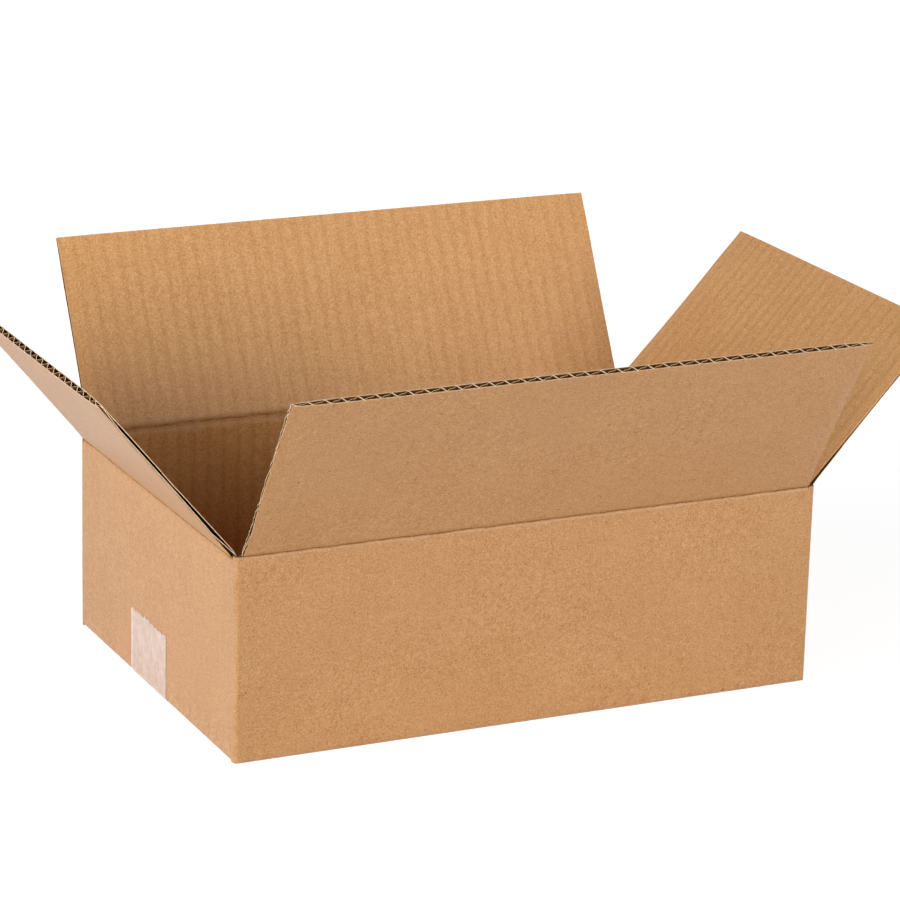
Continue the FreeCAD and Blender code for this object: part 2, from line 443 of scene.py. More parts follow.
def wall_path():
    """The walls' path seen from above, as knots of u, a point outside and a point inside.

    It starts at the back wall's cut end, goes round by the left and the front, and ends with
    the tab, which lies against the inside of the back wall.
    """
    out_x = np.array([1.0, 0.0])
    out_y = np.array([0.0, 1.0])
    corners = [(-1, 1), (-1, -1), (1, -1)]
    facing = [out_y, -out_x, -out_y, out_x]
    knots = [(0, (half_length, half_width), (half_length, half_width - board))]
    u = 0
    for n, corner in enumerate(corners):
        u += (length, width, length)[n]
        place = np.array(corner) * (half_length, half_width)
        knots += corner_knots(u, place, facing[n], facing[n + 1])
    fold_x = half_length - board
    tab_outer = half_width - board
    tab_inner = tab_outer - tab_board
    fold_end = tab_outer - joint_gap
    knots.append((girth - half_width + tab_inner, (half_length, tab_inner), (fold_x, tab_inner)))
    start = girth - half_width + fold_end
    knots.append((start, (half_length, fold_end), (fold_x, tab_inner)))
    bevel = (fold_x + joint_bevel, fold_end)
    knots.append((start + board - joint_bevel, bevel, (fold_x, tab_inner)))
    knots.append((start + board, (fold_x, tab_outer), (fold_x - joint_gap, tab_inner)))
    tip = fold_x - tab_width
    knots.append((start + board + tab_width, (tip, tab_outer), (tip, tab_inner)))
    return knots, start + board


wall_knots, tab_start = wall_path()
knot_u = np.array([knot[0] for knot in wall_knots])
knot_outer = np.array([knot[1] for knot in wall_knots])
knot_inner = np.array([knot[2] for knot in wall_knots])


def place_wall(u, v, w):
    """A point of the walls: on the line from the outer path's point to the inner path's one."""
    share = w / board
    x = np.interp(u, knot_u, knot_outer[:, 0]) * (1 - share)
    x = x + np.interp(u, knot_u, knot_inner[:, 0]) * share
    y = np.interp(u, knot_u, knot_outer[:, 1]) * (1 - share)
    y = y + np.interp(u, knot_u, knot_inner[:, 1]) * share
    return np.stack([x, y, v + 0 * x], -1)


def near_corner(u):
    """The distance from u to the nearest upright fold, or to the glued joint."""
    folds = np.array([0, length, length + width, 2 * length + width, girth])
    return np.min(np.abs(u[..., None] - folds), -1)


def wall_grid(columns, shares):
    """The walls' u and v: each column goes from the bottom folds or slots to the top ones."""
    at_corner = near_corner(columns) < panel_inset
    on_side = (columns < length) | (np.abs(columns - 1.5 * length - width) < half_length)
    low = np.where(on_side, side_wall_low, end_wall_low)
    low = np.where(at_corner, slot_low, low)
    high = np.where(at_corner, slot_floor, wall_top)
    along_tab = (columns - tab_start) / tab_width
    low = np.where(along_tab >= 0, tab_low + tab_slant * along_tab, low)
    high = np.where(along_tab >= 0, tab_high - tab_slant * along_tab, high)
    v = low + (high - low) * shares[:, None]
    return np.broadcast_to(columns, v.shape).copy(), v


def wall_faces(u, v):
    """The walls' faces, pressed in under the tape."""
    outer, inner = plain_faces(u, v)
    return outer + tape_dent(u, v), inner


def tape_dent(u, v):
    """How far the tape presses the end walls in: its press times two smooth falls to 0.

    One fall is across the tape, from its middle line outwards, and one up it past its torn end.
    """
    left = by_place[1].middle
    right = by_place[3].middle
    across = np.where(abs(u - left) < half_width, -(u - left), u - right)
    middle = (tape_low.y + tape_high.y) / 2
    half = (tape_high.y - tape_low.y) / 2
    side = 1 - smooth(abs(across - middle), half + press_sides[0], half + press_sides[1])
    end = (abs(u - left) < half_width) | (abs(u - right) < half_width)
    below = 1 - smooth(v, tape_tail + press_end[0], tape_tail + press_end[1])
    return tape_press * side * below * end


def wall_marks(u, v):
    """Wear on the walls: the upright folds and the bottom edges are rubbed."""
    worn = bump(near_corner(u), fold_wear) + 0.5 * bump(v, bottom_wear)
    return far, far, worn * (0.75 + 0.25 * wander(v, 9 * mm, seed=6))


def wall_columns(step):
    """u values a step apart on each wall, with extra ones round the folds, slots and tape.

    A slot's side and the tab's start have two columns a hair apart, so the cut there is straight.
    """
    hair = 1e-6
    places = [spaced(0, tab_start + tab_width, step)]
    for corner in (0, length, length + width, 2 * length + width, girth):
        places.append(corner + np.array([-1, 1]) * (panel_inset - hair))
        places.append(corner + np.array([-1, 1]) * (panel_inset + hair))
        places.append(corner + np.linspace(-fold_zone, fold_zone, fold_columns))
    places.append(tab_start + np.array([-hair, 0]))
    places.append(knot_u[-5:])
    for panel in (by_place[1], by_place[3]):
        for edge in (tape_low.y, tape_high.y):
            side = panel.middle + edge * panel.along[1]
            places.append(side + tape_columns)
    columns = np.unique(np.round(np.concatenate(places), 8))
    return columns[(columns >= 0) & (columns <= knot_u[-1])]


def make_walls():
    """The walls, whose rows are closer together round the tape's ends."""
    tape_end = (tape_tail - end_wall_low + tape_rows) / (wall_top - end_wall_low)
    shares = np.sort(np.concatenate([np.linspace(0, 1, 13), tape_end]))
    made = fluted_board(
        "carton_walls",
        place_wall,
        wall_faces,
        wall_marks,
        wall_grid,
        (wall_columns(flute_pitch / columns_per_flute), shares),
        (wall_columns(flute_pitch / medium_columns_per_flute), np.linspace(0, 1, 4)),
        # The walls' top and bottom cut edges take the medium's dark colour: painted shade, also at
        # the slots' floors.
        (MEDIUM_AND_SHADE, MEDIUM_AND_SHADE, EDGE, EDGE),
    )
    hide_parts("carton")
    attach(made, "carton")
    return made


# The four top flaps. Each starts as a strip of its wall, bends at its crease and stands open.
# First how far apart its rows lie: in the bend, below it, on side flaps, on end flaps, and the
# medium's above it.
bend_step = 0.4 * mm
low_step = 1.2 * mm
side_flap_step = 1.6 * mm
end_flap_step = 1 * mm
medium_step = 14 * mm

# Then the grooves that its crease presses into both faces, how far its corners are crushed, and
# the widths of the bells that shape the grooves, the crush, the fray and the spread at its tip.
outer_groove = 0.2 * mm
end_outer_groove = 0.3 * mm
inner_groove = 0.9 * mm
groove_size = 1 * mm
inner_groove_size = 2.4 * mm
corner_crush = 1.1 * mm
corner_reach = (14 * mm, 16 * mm)
side_reach = 3.5 * mm
fray_reach = 2.5 * mm
fray_step = 1.1 * mm
tip_reach = 1 * mm
seed_of_first_flap = 30


def flap_length(panel):
    """The flap's length from its crease's axis, from the height of its tip's inner corner."""
    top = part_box(panel.flap)[1].z
    lean = (board - panel.depth) * math.sin(panel.tilt)
    return (top - panel.level - lean) / math.cos(panel.tilt)


def turn_out(out, height, angle):
    """Points (out, height) about a crease, turned outwards by an angle."""
    cos, sin = np.cos(angle), np.sin(angle)
    return out * cos + height * sin, height * cos - out * sin


def make_top_flap(panel, seed):
    """A top flap with the strip of wall under its crease.

    The sheet is upright until it nears the crease's axis, and turns about it by the flap's
    tilt times a smooth rise from one bend's length below the axis to one above. In here s is the
    height above the axis along the sheet, and e the distance from the panel's middle.
    """
    reach = flap_length(panel)
    start = wall_top - panel.level
    level = panel.level
    bend_rows = spaced(-crease_bend, crease_bend, bend_step)[1:-1]
    low_rows = spaced(start, -crease_bend, low_step)
    row_step = side_flap_step if panel.is_side else end_flap_step
    rows = np.concatenate([low_rows, bend_rows, spaced(crease_bend, reach, row_step)])
    top_rows = spaced(crease_bend, reach - 2 * mm, medium_step)
    top_rows = np.append(top_rows, reach + np.array([-1, 0]) * mm)
    medium_rows = np.concatenate([low_rows, bend_rows[::2], top_rows])

    def grid(columns, rows):
        """u and v: the sides drawn in by a random fray, the root widened to the wall's width."""
        u, s = np.meshgrid(columns, rows)
        e = u - panel.middle
        side = panel.flap_half - abs(e)
        fray = 0.5 + 0.5 * wander(s + 0.3 * np.sign(e), fray_step, seed + 10)
        fray = fray * panel.side_fray * smooth(s, 2 * mm, 8 * mm)
        e = e - np.sign(e) * fray * bump(side, fray_reach)
        e = e * (1 + (flap_inset - panel_inset) / panel.flap_half * (1 - smooth(s, -2 * mm, 0)))
        return panel.middle + e, level + s

    def faces(u, v):
        """The plain faces, pinched together by bells at the sides and corners and at the crease."""
        s = v - level
        side = np.maximum(panel.flap_half - abs(u - panel.middle), 0)
        outer, inner = plain_faces(u, v)
        crush = bump(s - 0.5 * reach, 0.42 * reach) * (0.85 + 0.15 * wander(v, 11 * mm, seed + 12))
        pinch = panel.side_crush * bump(side, side_reach) * crush
        corner = bump(side, corner_reach[0]) * bump(reach - s, corner_reach[1])
        pinch = pinch + corner_crush * corner
        pinch = pinch * smooth(s, 0, 6 * mm)
        depth = outer_groove if panel.is_side else end_outer_groove
        rough = 1 + 0.15 * wander(u, 5 * mm, seed + 13)
        outer = outer + pinch / 2 + depth * rough * bump(s, groove_size)
        inner = inner - pinch / 2 - inner_groove * rough * bump(s, inner_groove_size)
        return outer, inner

    def place(u, v, w):
        """A point of the sheet, turned about the crease by the angle that its row has reached."""
        s = v - level
        angle = panel.tilt * smooth(s, -crease_bend, crease_bend)
        out, height = turn_out(panel.depth - w, s, angle)
        e = (u - panel.middle)[..., None]
        return panel.centre + e * panel.along + out[..., None] * panel.out + height[..., None] * up

    def marks(u, v):
        """Distances in mm from the crease and from the nearest cut edge, and no wear."""
        s = v - level
        side = panel.flap_half - abs(u - panel.middle)
        rim = np.minimum(side, reach - s) + 3 * mm * (1 - smooth(s, 0, 4 * mm))
        return s / mm, rim / mm, np.zeros_like(u)

    def loose(u, v, wave, slope):
        """The medium let down along the sides, by a share that fades at the root and the tip."""
        if not panel.loose_side:
            return wave, slope
        s = v - level
        side = panel.flap_half - abs(u - panel.middle) - 0.8 * mm * wander(s, 7 * mm, seed + 14)
        share = smooth(s, 2 * mm, 6 * mm) * (1 - smooth(s, reach - 9 * mm, reach - 3 * mm))
        flat_wave, flat_slope = lay_flat(wave, slope, side, panel.loose_side)
        return wave + share * (flat_wave - wave), slope + share * (flat_slope - slope)

    def burr(u, v):
        """How much thicker the medium's steep flanks are: a bell about the tip."""
        return panel.burr * bump(reach - v + level, tip_reach)

    def columns(step):
        """u values a step apart, with two more near each side for the crushed edge."""
        half = panel.flap_half
        inside = spaced(panel.middle - half, panel.middle + half, step)
        edges = [0.7 * mm, 1.6 * mm]
        ends = [panel.middle + sign * (half - edge) for sign in (-1, 1) for edge in edges]
        return np.unique(np.concatenate([inside, ends]))

    made = fluted_board(
        panel.flap + "_board",
        place,
        faces,
        marks,
        grid,
        (columns(panel.pitch / columns_per_flute), rows),
        (columns(panel.pitch / medium_columns_per_flute), medium_rows),
        (EDGE, EDGE, panel.side_paint, panel.side_paint),
        loose,
        burr,
    )
    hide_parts(panel.flap)
    high = panel.centre + crease_bend * panel.flap_direction()
    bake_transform(made)
    return made


# The four bottom flaps. The side flaps lie outside, and the end flaps lie on them. An even number
# of steps goes round each bottom fold.
bottom_fold_rows = 8


def bottom_profile(panel):
    """The bottom fold's path in from the wall, as rows of s, outer point and inner point.

    Points are (distance in from the wall's outer face, height). Outside it is an arc, and
    inside it is crushed to a sharp corner. s is the distance along the sheet.
    """
    corner = board + 0.1 * mm
    if panel.is_side:
        radius, lift, under = bottom_fold_radius, 0, 0
        tip = half_width - bottom_seam / 2
    else:
        radius, lift, under = end_fold_radius, end_fold_lift, inner_layer
        tip = bottom_end_flap_length
    rows = [(0, (0, panel.wall_low), (board, panel.wall_low))]
    s = panel.wall_low - under - board
    for n in range(bottom_fold_rows + 1):
        angle = math.radians(90) * n / bottom_fold_rows
        outer = (radius * (1 - math.cos(angle)), lift + radius * (1 - math.sin(angle)))
        inner = (board + 0.1 * mm * n / bottom_fold_rows, under + board)
        rows.append((s + n * 0.5 * mm, outer, inner))
    s = rows[-1][0]
    if under:
        rows.append((s + 1 * mm, (board, lift), (corner, under + board)))
        rows.append((s + 2 * mm, (board + 0.05 * mm, under), (corner + 0.1 * mm, under + board)))
        s += 2 * mm
    rows.append((s + 1 * mm, (corner + 1 * mm, under), (corner + 1 * mm, under + board)))
    for inset in spaced(corner + 6 * mm, tip, 8 * mm):
        rows.append((s + inset - corner, (inset, under), (inset, under + board)))
    return rows[::-1]


def make_bottom_flap(panel):
    """A folded-in bottom flap: a board carried along its fold's profile, s down the sheet."""
    profile = bottom_profile(panel)
    s_rows = np.array([row[0] for row in profile])
    outer_path = np.array([row[1] for row in profile], float)
    inner_path = np.array([row[2] for row in profile], float)
    order = np.argsort(s_rows)
    fold_middle = s_rows[order][1 + bottom_fold_rows // 2]

    def along_path(s, path):
        """The distance in and the height that a path has reached at s."""
        return [np.interp(s, s_rows[order], path[order][:, axis]) for axis in (0, 1)]

    def grid(columns, rows):
        """u and v, with v falling below the wall as s grows."""
        u, s = np.meshgrid(columns, rows)
        return u, panel.wall_low - s

    def faces(u, v):
        """The plain faces, pressed in under the tape."""
        outer, inner = plain_faces(u, v)
        if panel.is_side:
            inset = along_path(panel.wall_low - v, outer_path)[0]
            y = (half_width - inset) * panel.out[1]
            pressed = (y > tape_low.y - 0.5 * mm) & (y < tape_high.y + 0.5 * mm)
            outer = outer + tape_press * pressed
        else:
            outer = outer + tape_dent(u, v)
        return outer, inner

    def place(u, v, w):
        """A point on the line from the outer path's point at s to the inner path's one."""
        s = panel.wall_low - v
        share = w / board
        inset, height = (
            a * (1 - share) + b * share
            for a, b in zip(along_path(s, outer_path), along_path(s, inner_path))
        )
        e = (u - panel.middle)[..., None]
        across = (panel.reach - inset)[..., None] * panel.out
        return e * panel.along + across + height[..., None] * up

    def marks(u, v):
        """Wear: a bell about the middle of the fold."""
        fold = bump(panel.wall_low - v - fold_middle, 2 * mm)
        return far, far, 0.5 * fold

    half = panel.half - panel_inset
    made = fluted_board(
        "bottom_" + panel.flap,
        place,
        faces,
        marks,
        grid,
        (spaced(panel.middle - half, panel.middle + half, panel.pitch / 4), s_rows),
        (spaced(panel.middle - half, panel.middle + half, panel.pitch / 8), s_rows),
        (EDGE,) * 4,
    )
    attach(made, "carton")
    return made


# The tape: one strip along the bottom seam and up both end walls, torn off along a row of teeth.
def tape_path(inset):
    """Knots of the tape's path, an inset inside the carton: up a wall, under it and up again."""
    half = half_length - inset
    radius = bottom_fold_radius - inset
    knots = [(-half, tape_tail)]
    for n in range(bottom_fold_rows + 1):
        angle = math.radians(90) * n / bottom_fold_rows
        x = -half + radius * (1 - math.cos(angle))
        knots.append((x, inset + radius * (1 - math.sin(angle))))
    right = [(-x, z) for x, z in reversed(knots)]
    return np.array(knots + right)


def make_tape():
    """The film between two paths round the bottom, with a zigzag at both torn ends.

    A torn end is cut back by a triangle wave of y, whose teeth are random in depth, plus a random
    line. The cut fades out smoothly over the rows near the end.
    """
    outer_path = tape_path(0)
    inner_path = tape_path(tape_film)
    steps = np.hypot(*np.diff(outer_path, axis=0).T)
    s_knots = np.concatenate([[0], np.cumsum(steps)])
    total = s_knots[-1]
    across = spaced(tape_low.y, tape_high.y, (tape_high.y - tape_low.y) / tape_teeth / 4)
    ends = np.append(spaced(0, torn_rows, 0.6 * mm), spaced(4 * mm, tape_tail, 3 * mm))
    s_rows = np.unique(np.concatenate([ends, s_knots, total - ends]))

    y, s = np.meshgrid(across, s_rows)
    tooth = abs((y - tape_low.y) / (tape_high.y - tape_low.y) * tape_teeth % 1 - 0.5) * 2
    cut = tooth_depth * tooth * (0.6 + 0.4 * wander(y, 3 * mm, seed=21))
    cut = cut + torn_depth * (1 + wander(y, 7 * mm, seed=22))
    s = s + cut * (1 - smooth(s, 0, torn_rows)) - cut * smooth(s, total - torn_rows, total)

    def place(y, s, depth):
        """A point on the line from the outer path's point at s to the inner path's one."""
        share = (depth / tape_film)[..., None]
        ends = []
        for path in (outer_path, inner_path):
            x = np.interp(s, s_knots, path[:, 0])
            z = np.interp(s, s_knots, path[:, 1])
            ends.append(np.stack([x, y, z], -1))
        return ends[0] * (1 - share) + ends[1] * share

    # Only the outer skin has the film's look. The inner one and the rims are quite clear.
    shells = Shells()
    faces = np.zeros_like(y), np.full(y.shape, tape_film)
    shells.add(place, y, s, *faces, (0, 1), (1,) * 4, unmarked)
    made = shells.piece("clear_tape", tape_materials)
    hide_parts("bottom_tape")
    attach(made, "carton")
    return made


# Materials. Their patterns follow the sheet, so they stay on the board when a flap turns.
def add_node(tree, kind, inputs=None, **settings):
    """A shader node with its settings, and with its inputs set to values or linked to sockets."""
    made = tree.nodes.new("ShaderNode" + kind)
    for name, value in settings.items():
        setattr(made, name, value)
    for name, value in (inputs or {}).items():
        if isinstance(value, bpy.types.NodeSocket):
            tree.links.new(value, made.inputs[name])
        else:
            made.inputs[name].default_value = value
    return made


def maths(tree, operation, *values):
    """The result of a sum on two or three numbers or sockets."""
    return add_node(tree, "Math", dict(enumerate(values)), operation=operation).outputs[0]


def vector_maths(tree, operation, *values):
    """The result of a sum on vectors or colours, or on a vector and a number to scale it by."""
    inputs = dict(enumerate(values))
    if operation == "SCALE":
        inputs = {0: values[0], "Scale": values[1]}
    return add_node(tree, "VectorMath", inputs, operation=operation).outputs[0]


def noise_about_zero(tree, vector, detail, roughness=0.5):
    """Noise between about -0.5 and 0.5 at a place that a socket gives."""
    inputs = {"Vector": vector, "Scale": 1, "Detail": detail, "Roughness": roughness}
    return maths(tree, "SUBTRACT", add_node(tree, "TexNoise", inputs).outputs["Fac"], 0.5)


def mix_colour(tree, factor, first, second):
    """A mix of two colours by a factor."""
    inputs = {0: factor, 6: first, 7: second}
    return add_node(tree, "Mix", inputs, data_type="RGBA").outputs[2]


def place_group(tree, group, inputs):
    """A group's node with its inputs set or linked."""
    return add_node(tree, "Group", inputs, node_tree=group)


def new_material(name):
    """A material, its node tree and its Principled shader."""
    material = bpy.data.materials.new(name)
    material.use_nodes = True
    return material, material.node_tree, material.node_tree.nodes["Principled BSDF"]


def add_bump(tree, shader, height, distance):
    """A faint relief on a shader, from a height of 0 to 1 that stands for so many metres."""
    inputs = {"Strength": 0.3, "Distance": distance, "Height": height}
    tree.links.new(add_node(tree, "Bump", inputs).outputs["Normal"], shader.inputs["Normal"])


def read_mark(tree, name):
    """The node that reads one of the mesh's attributes."""
    return add_node(tree, "Attribute", attribute_name=name, attribute_type="GEOMETRY")


def ramp(tree, value, low, high):
    """A smooth rise of a value from 0 at low to 1 at high."""
    inputs = {"Value": value, "From Min": low, "From Max": high}
    return add_node(tree, "MapRange", inputs, interpolation_type="SMOOTHSTEP").outputs[0]


def new_group(name, inputs, outputs):
    """An empty node group with named inputs and outputs, and its two end nodes."""
    tree = bpy.data.node_groups.new(name, "ShaderNodeTree")
    for label, kind, value in inputs:
        socket = tree.interface.new_socket(label, in_out="INPUT", socket_type="NodeSocket" + kind)
        if value is not None:
            socket.default_value = value
    for label, kind in outputs:
        tree.interface.new_socket(label, in_out="OUTPUT", socket_type="NodeSocket" + kind)
    return tree, tree.nodes.new("NodeGroupInput"), tree.nodes.new("NodeGroupOutput")


# How the pattern changes red, green and blue, how much of each is left in a crease's painted shade,
# how torn and rubbed paper pales them, by a factor and an amount added, and how dull a crease is.
paleness = (1, 1.6, 2.7)
crease_painted_shade = (0.4, 0.32, 0.24)
torn_factor = (1.25, 1.35, 1.5)
torn_added = (0.06, 0.06, 0.05)
crease_roughness = 0.9


def kraft_group():
    """Kraft paper: clouds, grain, streaks along the flutes, dark specks and pale flecks.

    Where the paper is paler it is also greyer, so the pattern changes green and blue more than
    red.
    """
    tree, given, made = new_group(
        "kraft paper",
        [
            ("Sheet", "Vector", None),
            ("Colour", "Color", (0.6, 0.35, 0.17, 1)),
            ("Contrast", "Float", 1.0),
            ("Specks", "Float", 1.0),
            ("Streaks", "Float", 1.0),
            ("Flute", "Float", 0.0),
        ],
        [("Colour", "Color"), ("Height", "Float")],
    )
    place = vector_maths(tree, "SCALE", given.outputs["Sheet"], 1 / mm)

    def noise(stretch, detail):
        """Noise about 0, with its steps to each mm along the sheet, up it and through it."""
        return noise_about_zero(tree, vector_maths(tree, "MULTIPLY", place, stretch), detail, 0.6)

    def spots(cell, low, high):
        """Ragged spots, at most one to a cell of so many mm, whose radii lie between two in mm."""
        vector = vector_maths(tree, "SCALE", ragged, 1 / cell)
        cells = add_node(tree, "TexVoronoi", {"Vector": vector, "Scale": 1})
        chance = add_node(tree, "SeparateColor", {0: cells.outputs["Color"]}).outputs[0]
        radius = maths(tree, "MULTIPLY_ADD", chance, (high - low) / cell, low / cell)
        # Cells whose chance gives a radius below 0 get no spot.
        radius = maths(tree, "MAXIMUM", radius, 0.0001)
        inputs = {"Value": cells.outputs["Distance"], "From Min": 0, "From Max": radius}
        inputs = inputs | {"To Min": 1, "To Max": 0}
        return add_node(tree, "MapRange", inputs, interpolation_type="SMOOTHSTEP").outputs[0]

    fine = vector_maths(tree, "MULTIPLY", place, (1.3, 1.3, 1.3))
    inputs = {"Vector": fine, "Scale": 1, "Detail": 1}
    shake = add_node(tree, "TexNoise", inputs).outputs["Color"]
    ragged = vector_maths(tree, "MULTIPLY_ADD", shake, (1.1, 1.1, 1.1), place)
    grain = noise((1.9, 1.9, 9), 1)
    value = maths(tree, "MULTIPLY", grain, 0.9)
    value = maths(tree, "MULTIPLY_ADD", noise((0.85, 0.85, 9), 1), 0.5, value)
    value = maths(tree, "MULTIPLY_ADD", noise((0.25, 0.25, 9), 2), 0.24, value)
    value = maths(tree, "MULTIPLY_ADD", spots(3.2, -0.2, 0.7), 0.25, value)
    value = maths(tree, "MULTIPLY", value, given.outputs["Contrast"])
    value = maths(tree, "MULTIPLY_ADD", noise((0.03, 0.03, 9), 1), 0.1, value)
    streak = maths(tree, "MULTIPLY", noise((0.5, 0.03, 9), 2), given.outputs["Streaks"])
    value = maths(tree, "MULTIPLY_ADD", streak, 0.16, value)
    dark = maths(tree, "ADD", spots(7, -0.5, 0.75), spots(3.3, -0.6, 0.5))
    dark = maths(tree, "MULTIPLY", dark, given.outputs["Specks"])
    value = maths(tree, "MULTIPLY_ADD", dark, -0.7, value)
    value = maths(tree, "ADD", value, given.outputs["Flute"])
    change = vector_maths(tree, "SCALE", paleness, value)
    colour = given.outputs["Colour"]
    colour = vector_maths(tree, "MULTIPLY_ADD", colour, change, colour)
    tree.links.new(colour, made.inputs["Colour"])
    tree.links.new(grain, made.inputs["Height"])
    return tree


kraft = kraft_group()


def edge_group():
    """A sheet's creases, cut edges and rubbed folds, drawn over its colour.

    A crease is painted shade: a thin wavering dark line in a soft dark band of painted shadow,
    where the paper is also duller. A cut edge shows pale torn paper for a random width, and a
    rubbed fold is paler.
    """
    tree, given, made = new_group(
        "creases and edges",
        [
            ("Sheet", "Vector", None),
            ("Colour", "Color", (0.6, 0.35, 0.17, 1)),
            ("Line", "Float", 0.5),
            ("Painted crease shadow", "Float", 0.0),
            ("Torn", "Float", 0.5),
            ("Worn", "Float", 0.35),
            ("Roughness", "Float", 0.5),
        ],
        [("Colour", "Color"), ("Roughness", "Float")],
    )

    def noise(steps, detail):
        """Noise about 0, with so many steps to each mm of the sheet."""
        place = vector_maths(tree, "SCALE", given.outputs["Sheet"], steps / mm)
        return noise_about_zero(tree, place, detail)

    colour = given.outputs["Colour"]
    # Painted shade at a crease: a thin wavering dark line, and about it a soft band of painted
    # shadow.
    height = read_mark(tree, "crease").outputs["Fac"]
    height = maths(tree, "MULTIPLY_ADD", noise(0.12, 2), 1.6, height)
    distance = maths(tree, "ABSOLUTE", height, 0)
    painted_line = maths(tree, "SUBTRACT", 1, ramp(tree, distance, 0.1, 0.7))
    fade = maths(tree, "MULTIPLY_ADD", noise(0.3, 2), 1.6, 1)
    painted_line = maths(tree, "MULTIPLY", maths(tree, "MULTIPLY", painted_line, fade), given.outputs["Line"])
    dull = maths(tree, "SUBTRACT", 1, ramp(tree, distance, 0.3, 1.5))
    rougher = maths(tree, "SUBTRACT", crease_roughness, given.outputs["Roughness"])
    rougher = maths(tree, "MULTIPLY_ADD", rougher, dull, given.outputs["Roughness"])
    tree.links.new(rougher, made.inputs["Roughness"])
    painted_band = maths(tree, "SUBTRACT", 1, ramp(tree, distance, 0.4, 3.2))
    painted_band = maths(tree, "MULTIPLY", painted_band, given.outputs["Painted crease shadow"])
    # The line and the band darken the colour: painted shade and painted shadow at the crease.
    dark = vector_maths(tree, "MULTIPLY", colour, crease_painted_shade)
    colour = mix_colour(tree, maths(tree, "MAXIMUM", painted_line, painted_band), colour, dark)
    rim = maths(tree, "MULTIPLY_ADD", noise(0.9, 2), -2.2, read_mark(tree, "rim").outputs["Fac"])
    torn = maths(tree, "SUBTRACT", 1, ramp(tree, rim, 0.0, 0.7))
    torn = maths(tree, "MULTIPLY", torn, given.outputs["Torn"])
    worn = maths(tree, "MULTIPLY_ADD", noise(0.5, 2), 0.9, read_mark(tree, "worn").outputs["Fac"])
    worn = maths(tree, "MULTIPLY", ramp(tree, worn, 0.25, 1.1), given.outputs["Worn"])
    pale = maths(tree, "MAXIMUM", torn, worn)
    light = vector_maths(tree, "MULTIPLY_ADD", given.outputs["Colour"], torn_factor, torn_added)
    colour = mix_colour(tree, pale, colour, light)
    tree.links.new(colour, made.inputs["Colour"])
    return tree


edges = edge_group()


def paper_material(name, colour, roughness, look, marks=None, stripe=0.0, specular=0.5):
    """A paper surface: kraft with a faint gloss, and its marks and painted crease shade if it has
    any.
    """
    material, tree, shader = new_material(name)
    shader.inputs["Roughness"].default_value = roughness
    shader.inputs["Specular IOR Level"].default_value = specular
    sheet = read_mark(tree, "sheet").outputs["Vector"]
    flute = maths(tree, "MULTIPLY", read_mark(tree, "flute").outputs["Fac"], stripe)
    inputs = {"Sheet": sheet, "Colour": (*colour, 1), "Flute": flute}
    paper = place_group(tree, kraft, inputs | look)
    result = paper.outputs["Colour"]
    if marks:
        inputs = {"Sheet": sheet, "Colour": result, "Roughness": roughness}
        marked = place_group(tree, edges, inputs | marks)
        result = marked.outputs["Colour"]
        tree.links.new(marked.outputs["Roughness"], shader.inputs["Roughness"])
    tree.links.new(result, shader.inputs["Base Color"])
    add_bump(tree, shader, paper.outputs["Height"], 0.06 * mm)
    return material


# The papers' colours, then how strongly each shows the kraft pattern, its marks and its painted
# crease shade.
outer_colour = (0.468, 0.233, 0.084)
inner_colour = (0.62, 0.315, 0.108)
# The medium's colour is a darker brown paper, darkened further as painted shade for the flutes'
# channels.
medium_colour_and_shade = (0.14, 0.068, 0.027)
edge_colour = (0.8, 0.57, 0.36)

outer_look = {"Contrast": 0.95, "Specks": 1.0, "Streaks": 0.35}
inner_look = {"Contrast": 0.88, "Specks": 0.7, "Streaks": 1.0}
rough_look = {"Contrast": 1.3, "Specks": 0.5, "Streaks": 0.0}
# How strong each paper's painted crease shade is in its line and its band, and how torn and worn it
# shows.
outer_marks_and_shade = {"Line": 0.95, "Painted crease shadow": 0.12, "Torn": 0.35, "Worn": 0.35}
inner_marks_and_shade = {"Line": 0.7, "Painted crease shadow": 0.4, "Torn": 0.3, "Worn": 0.2}

board_materials = [
    paper_material("outer liner", outer_colour, 0.42, outer_look, outer_marks_and_shade, stripe=0.01),
    paper_material("inner liner", inner_colour, 0.5, inner_look, inner_marks_and_shade, stripe=-0.085),
    paper_material("fluted medium and painted shade", medium_colour_and_shade, 0.9, rough_look, specular=0.2),
    paper_material("cut edge", edge_colour, 0.8, rough_look, specular=0.2),
]


film_colour = (0.86, 0.7, 0.6, 1)
film_cover = 0.62


